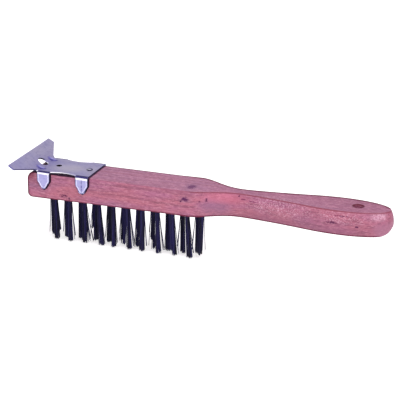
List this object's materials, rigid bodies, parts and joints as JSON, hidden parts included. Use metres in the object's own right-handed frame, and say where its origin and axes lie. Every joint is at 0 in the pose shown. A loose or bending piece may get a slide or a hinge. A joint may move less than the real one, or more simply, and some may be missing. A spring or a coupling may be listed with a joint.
{
  "type": "wire brush",
  "caption": "Hand wire brush with a wooden block handle, staggered steel wire tufts and a bent sheet-steel scraper over the toe.",
  "frame": {"origin": "under the middle of the brush's overall length and width, on the plane of the bristle tips", "axes": "+X runs from the scraper to the handle's end, +Y across the brush, +Z from the bristle tips up to the wood"},
  "size_m": [0.262, 0.066, 0.0621],
  "materials": {
    "stained_wood": "reddish stain, bare matt",
    "plated_sheet": "dull zinc plate",
    "nail_steel": "bright drawn steel, dulled",
    "bristle_wire": "dark oil-tempered wire",
    "anchor_wire": "drawn flat wire"
  },
  "bodies": {
    "root": {"handle_block": "stained_wood", "scraper_plate": "plated_sheet", "scraper_nail": "nail_steel", "tuft_left_01": "bristle_wire", "tuft_left_02": "bristle_wire", "tuft_left_03": "bristle_wire", "tuft_left_04": "bristle_wire", "tuft_left_05": "bristle_wire", "tuft_left_06": "bristle_wire", "tuft_left_07": "bristle_wire", "tuft_left_08": "bristle_wire", "tuft_left_09": "bristle_wire", "tuft_left_10": "bristle_wire", "tuft_left_11": "bristle_wire", "tuft_right_01": "bristle_wire", "tuft_right_02": "bristle_wire", "tuft_right_03": "bristle_wire", "tuft_right_04": "bristle_wire", "tuft_right_05": "bristle_wire", "tuft_right_06": "bristle_wire", "tuft_right_07": "bristle_wire", "tuft_right_08": "bristle_wire", "tuft_right_09": "bristle_wire", "tuft_right_10": "bristle_wire", "tuft_right_11": "bristle_wire", "anchor_left_01": "anchor_wire", "anchor_left_02": "anchor_wire", "anchor_left_03": "anchor_wire", "anchor_left_04": "anchor_wire", "anchor_left_05": "anchor_wire", "anchor_left_06": "anchor_wire", "anchor_left_07": "anchor_wire", "anchor_left_08": "anchor_wire", "anchor_left_09": "anchor_wire", "anchor_left_10": "anchor_wire", "anchor_left_11": "anchor_wire", "anchor_right_01": "anchor_wire", "anchor_right_02": "anchor_wire", "anchor_right_03": "anchor_wire", "anchor_right_04": "anchor_wire", "anchor_right_05": "anchor_wire", "anchor_right_06": "anchor_wire", "anchor_right_07": "anchor_wire", "anchor_right_08": "anchor_wire", "anchor_right_09": "anchor_wire", "anchor_right_10": "anchor_wire", "anchor_right_11": "anchor_wire"}
  },
  "joints": []
}
